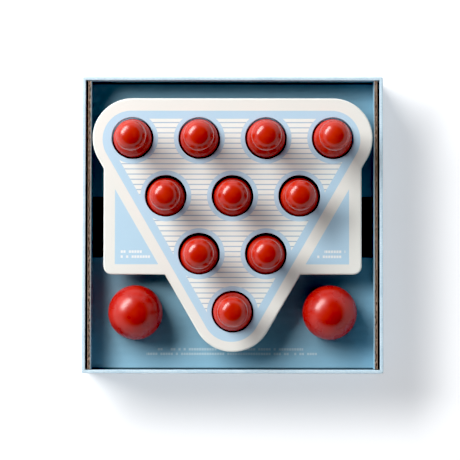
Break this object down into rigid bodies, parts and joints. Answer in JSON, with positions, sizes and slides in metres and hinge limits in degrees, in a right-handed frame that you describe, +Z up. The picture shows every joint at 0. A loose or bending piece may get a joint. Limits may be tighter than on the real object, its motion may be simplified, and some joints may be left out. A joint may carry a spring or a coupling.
{
  "type": "tabletop bowling game set",
  "caption": "Tabletop bowling game packed in its box base: lacquered pins stand in a printed triangular pin setter, with balls nested in a folded corrugated tray.",
  "frame": {"origin": "centre of the box's underside", "axes": "+Z up, +X to the right and +Y to the back row of pins, seen with the single pin nearest"},
  "size_m": [0.2206, 0.2174, 0.0706],
  "materials": {
    "greyboard": "uncoated greyboard, dull",
    "wrap_paper": "pale blue printed wrap with a satin film, worn along the edges",
    "tray_board": "corrugated board, blue print outside and brown inside and at the cut edges",
    "tray_print": "blue printed corrugated board, semi-gloss, faint washboard",
    "setter_core": "white-lined greyboard",
    "setter_print": "cream and light blue print, semi-gloss",
    "pin_lacquer": "turned wood in glossy red lacquer",
    "ball_lacquer": "turned wood in glossy red lacquer"
  },
  "bodies": {
    "box": {"box_floor": "greyboard", "box_wall_front": "greyboard", "box_wall_back": "greyboard", "box_wall_left": "greyboard", "box_wall_right": "greyboard", "box_wrap": "wrap_paper"},
    "tray": {"tray_deck": "tray_print", "tray_wall_left": "tray_board", "tray_wall_right": "tray_board", "tray_leg_front": "tray_board", "tray_leg_back": "tray_board", "tray_foot_front": "tray_board", "tray_foot_back": "tray_board", "setter_rest_left": "tray_board", "setter_rest_right": "tray_board"},
    "setter": {"setter_board": "setter_core", "setter_face": "setter_print"},
    "pin_01": {"pin_01": "pin_lacquer"},
    "pin_02": {"pin_02": "pin_lacquer"},
    "pin_03": {"pin_03": "pin_lacquer"},
    "pin_04": {"pin_04": "pin_lacquer"},
    "pin_05": {"pin_05": "pin_lacquer"},
    "pin_06": {"pin_06": "pin_lacquer"},
    "pin_07": {"pin_07": "pin_lacquer"},
    "pin_08": {"pin_08": "pin_lacquer"},
    "pin_09": {"pin_09": "pin_lacquer"},
    "pin_10": {"pin_10": "pin_lacquer"},
    "ball_left": {"ball_left": "ball_lacquer"},
    "ball_right": {"ball_right": "ball_lacquer"}
  },
  "joints": [
    {"name": "tray_lift", "type": "slide", "parent": "box", "child": "tray", "axis": [0, 0, 1], "range_m": [0, 0.06]},
    {"name": "setter_lift", "type": "slide", "parent": "tray", "child": "setter", "axis": [0, 0, 1], "range_m": [0, 0.05]},
    {"name": "pin_01_lift", "type": "slide", "parent": "tray", "child": "pin_01", "axis": [0, 0, 1], "range_m": [0, 0.05]},
    {"name": "pin_02_lift", "type": "slide", "parent": "tray", "child": "pin_02", "axis": [0, 0, 1], "range_m": [0, 0.05]},
    {"name": "pin_03_lift", "type": "slide", "parent": "tray", "child": "pin_03", "axis": [0, 0, 1], "range_m": [0, 0.05]},
    {"name": "pin_04_lift", "type": "slide", "parent": "tray", "child": "pin_04", "axis": [0, 0, 1], "range_m": [0, 0.05]},
    {"name": "pin_05_lift", "type": "slide", "parent": "box", "child": "pin_05", "axis": [0, 0, 1], "range_m": [0, 0.05]},
    {"name": "pin_06_lift", "type": "slide", "parent": "box", "child": "pin_06", "axis": [0, 0, 1], "range_m": [0, 0.05]},
    {"name": "pin_07_lift", "type": "slide", "parent": "box", "child": "pin_07", "axis": [0, 0, 1], "range_m": [0, 0.05]},
    {"name": "pin_08_lift", "type": "slide", "parent": "box", "child": "pin_08", "axis": [0, 0, 1], "range_m": [0, 0.05]},
    {"name": "pin_09_lift", "type": "slide", "parent": "box", "child": "pin_09", "axis": [0, 0, 1], "range_m": [0, 0.05]},
    {"name": "pin_10_lift", "type": "slide", "parent": "tray", "child": "pin_10", "axis": [0, 0, 1], "range_m": [0, 0.05]},
    {"name": "ball_left_lift", "type": "slide", "parent": "tray", "child": "ball_left", "axis": [0, 0, 1], "range_m": [0, 0.04]},
    {"name": "ball_right_lift", "type": "slide", "parent": "tray", "child": "ball_right", "axis": [0, 0, 1], "range_m": [0, 0.04]}
  ]
}
